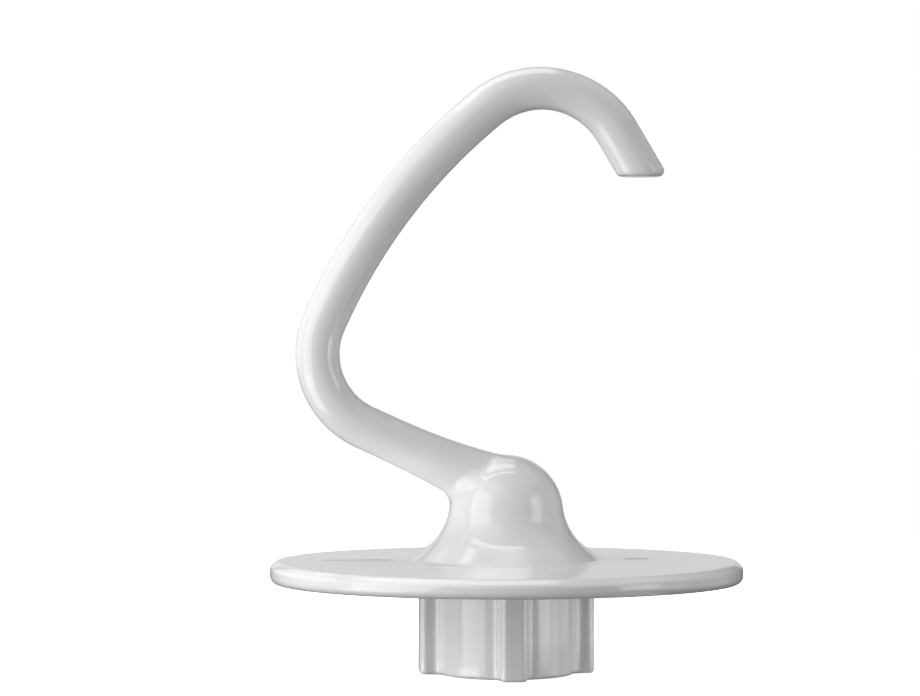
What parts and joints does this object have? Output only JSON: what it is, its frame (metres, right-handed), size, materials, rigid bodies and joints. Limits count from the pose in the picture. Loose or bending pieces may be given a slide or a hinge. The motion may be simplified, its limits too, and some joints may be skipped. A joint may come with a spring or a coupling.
{
  "type": "stand mixer dough hook",
  "caption": "One-piece coated C-shaped dough hook: round bent arm on a domed hub and splash disc, with a ribbed bayonet collar that slips over a mixer's drive shaft.",
  "frame": {"origin": "centre of the collar's open end face, on the shaft axis", "axes": "+Z along the shaft axis towards the hook; the hook bends in the XZ plane with its tip on the +X side"},
  "size_m": [0.1072, 0.107, 0.1378],
  "materials": {
    "white_coat": "gloss"
  },
  "bodies": {
    "root": {"dough_hook": "white_coat"}
  },
  "joints": []
}
